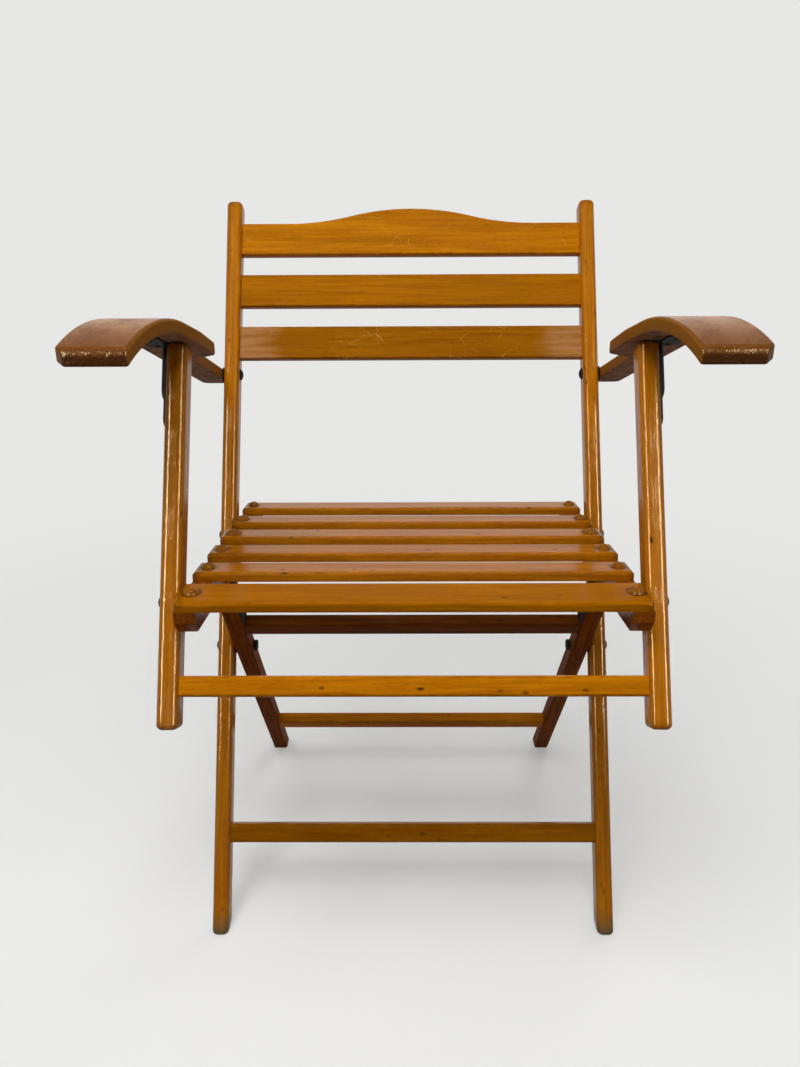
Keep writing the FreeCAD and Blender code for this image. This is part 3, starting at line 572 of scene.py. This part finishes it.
def floor_material():
    """A pale floor that takes the chair's shadow and fades farther out into the glow of the surround."""
    g = Graph(bpy.data.materials.new("pale_floor"))
    place = g.add("ShaderNodeTexCoord").outputs["Object"]
    direct = seen_directly(g)
    cloud = g.noise(place, 1.3, detail=3.0)
    colour = g.mix(g.ramp(cloud, 0.3, 0.7, 0.0, 0.05), FLOOR_PALE, FLOOR_SHADE)
    near, output = g.shader(g.mix(direct, BOUNCE, colour), roughness=0.7, specular=0.1)
    near.inputs["Emission Color"].default_value = (*PALE, 1.0)
    g.put(g.times(direct, FLOOR_GLOW), near.inputs["Emission Strength"])
    glow = g.add("ShaderNodeEmission")
    glow.inputs["Color"].default_value = (*PALE, 1.0)
    away = g.add("ShaderNodeVectorMath", operation="LENGTH")
    g.put(place, away.inputs[0])
    far_out = g.ramp(away.outputs["Value"], *FLOOR_FADE)
    both = g.add("ShaderNodeMixShader")
    g.put(g.times(far_out, direct), both.inputs[0])
    g.put(near.outputs[0], both.inputs[1])
    g.put(glow.outputs[0], both.inputs[2])
    g.put(both.outputs[0], output.inputs["Surface"])
    return g.owner


def pale_floor():
    far = FLOOR_WIDTH / 2
    mesh = bpy.data.meshes.new("floor")
    mesh.from_pydata([(-far, -far, 0), (far, -far, 0), (far, far, 0), (-far, far, 0)], [], [(0, 1, 2, 3)])
    mesh.materials.append(floor_material())
    floor = bpy.data.objects.new("floor", mesh)
    bpy.context.scene.collection.objects.link(floor)


def surround():
    """The world: pale where it is seen directly, and otherwise a low even light."""
    world = bpy.data.worlds.new("surround")
    bpy.context.scene.world = world
    g = Graph(world)
    background = g.add("ShaderNodeBackground")
    background.inputs["Color"].default_value = (*PALE, 1.0)
    g.put(g.ramp(seen_directly(g), 0.0, 1.0, SURROUND_LIGHT, 1.0), background.inputs["Strength"])
    output = g.add("ShaderNodeOutputWorld")
    g.put(background.outputs[0], output.inputs["Surface"])


def area_lamp(name, place, size, watts, lights=True, glints=True):
    """A lamp that faces the chair. It gives light, glints in the varnish, or both."""
    data = bpy.data.lights.new(name, "AREA")
    data.shape = "RECTANGLE"
    data.size, data.size_y = size
    data.energy = watts
    lamp = bpy.data.objects.new(name, data)
    lamp.location = place
    lamp.rotation_mode = "QUATERNION"
    lamp.rotation_quaternion = (Vector(LAMPS_FACE) - Vector(place)).to_track_quat("-Z", "Y")
    lamp.visible_camera = False
    lamp.visible_diffuse = lights
    lamp.visible_glossy = glints
    bpy.context.scene.collection.objects.link(lamp)


def lamps():
    """The ceiling and the lamp behind light the chair, and the others only glint in its varnish."""
    area_lamp("ceiling", place=(-0.30, -1.0, 2.4), size=(1.6, 1.0), watts=41.0, glints=False)
    area_lamp("left_window", place=(-1.30, -1.45, 1.35), size=(0.38, 1.3), watts=155.0, lights=False)
    area_lamp("right_window", place=(1.35, -1.55, 1.40), size=(0.38, 1.3), watts=165.0, lights=False)
    area_lamp("ceiling_strip", place=(0.0, -0.25, 2.4), size=(1.4, 0.12), watts=20.0, lights=False)
    area_lamp("behind", place=(0.9, 1.7, 1.7), size=(1.0, 1.0), watts=9.0, glints=False)


def front_camera():
    """The camera stands before the chair and looks down. Its sensor spans the picture's longer side."""
    data = bpy.data.cameras.new("camera")
    data.lens = data.sensor_width * FOCAL_PX / max(IMAGE_PX)
    data.clip_start = CAMERA_NEAR
    camera = bpy.data.objects.new("camera", data)
    leg_bolt = next(joint["pos_m"] for joint in frame["joints"] if joint["name"] == "rear_leg_fold")
    camera.location = Vector(leg_bolt) + Vector(CAMERA_FROM_LEG_BOLT) / 1000
    yaw = Matrix.Rotation(math.radians(CAMERA_YAW), 3, "Z")
    pitch = Matrix.Rotation(math.radians(90 - CAMERA_PITCH), 3, "X")
    roll = Matrix.Rotation(math.radians(CAMERA_ROLL), 3, "Z")
    camera.rotation_mode = "QUATERNION"
    camera.rotation_quaternion = (yaw @ pitch @ roll).to_quaternion()
    bpy.context.scene.collection.objects.link(camera)
    bpy.context.scene.camera = camera


# The right arm post and arm rest are painted lighter than the left ones, and the right top carries more
# painted sheen: painted light and shade, standing in for a right side lit more than the left, whose arm post
# lies in the shade of its arm rest
side_laths("left", seed=3.0, post_tone=0.88, arm_tone=1.0, arm_wear_and_sheen=0.80)
side_laths("right", seed=7.0, post_tone=1.08, arm_tone=1.15, arm_wear_and_sheen=0.92)
back_slats()
stretchers()
seat_slats()
metal_parts()
pale_floor()
surround()
lamps()
front_camera()
bpy.context.scene.view_settings.view_transform = "Standard"
